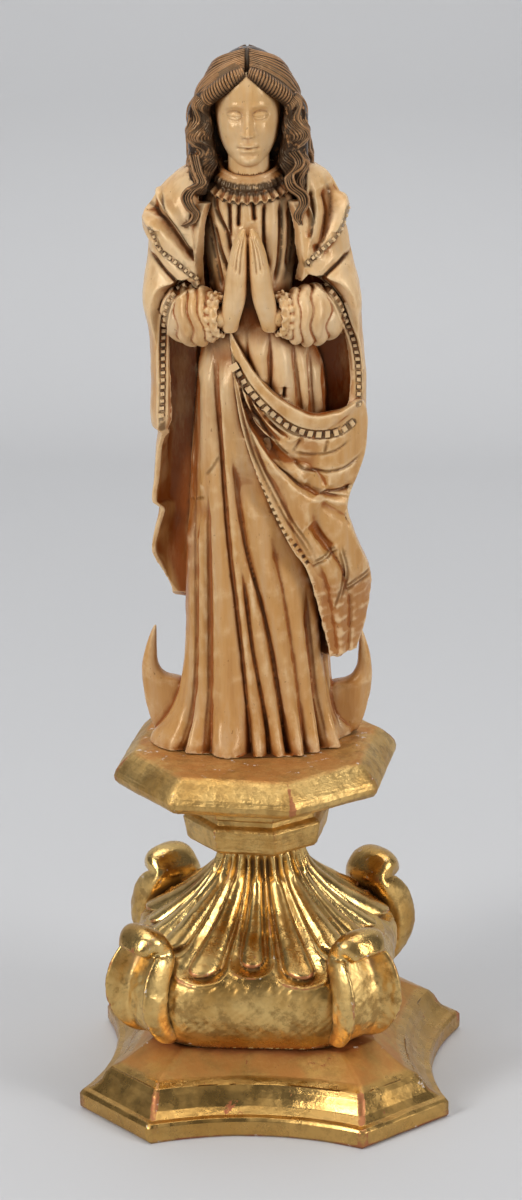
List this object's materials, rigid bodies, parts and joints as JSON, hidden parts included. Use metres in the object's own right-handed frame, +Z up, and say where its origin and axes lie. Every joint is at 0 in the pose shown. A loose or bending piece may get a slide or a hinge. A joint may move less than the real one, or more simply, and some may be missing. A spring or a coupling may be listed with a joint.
{
  "type": "devotional statuette on a stand",
  "caption": "Carved ivory figure of a praying woman in a draped mantle, standing on a crescent, on a giltwood stand with an octagonal slab, fluted body and moulded foot.",
  "frame": {"origin": "middle of the underside of the foot, on the surface it stands on", "axes": "+Z up along the statuette, -Y the front the figure looks to, +X to the right seen from the front"},
  "size_m": [0.098, 0.098, 0.28],
  "materials": {
    "gilt_foot": "water gilding over red bole, rubbed to the bole on the edges and along the moulding",
    "gilt_body": "burnished gold leaf over gesso, worn and cracked, dull gold on the lower band",
    "gilt_slab": "burnished gold edge, top worn to orange bole, punched neck bands",
    "ivory": "polished carved ivory, honey coloured, with dark brown stain in the hair, the ruff, the beaded hems and the deep folds, and fine age cracks"
  },
  "bodies": {
    "root": {"stand_foot": "gilt_foot", "stand_body": "gilt_body", "stand_slab": "gilt_slab", "madonna_figure": "ivory"}
  },
  "joints": []
}
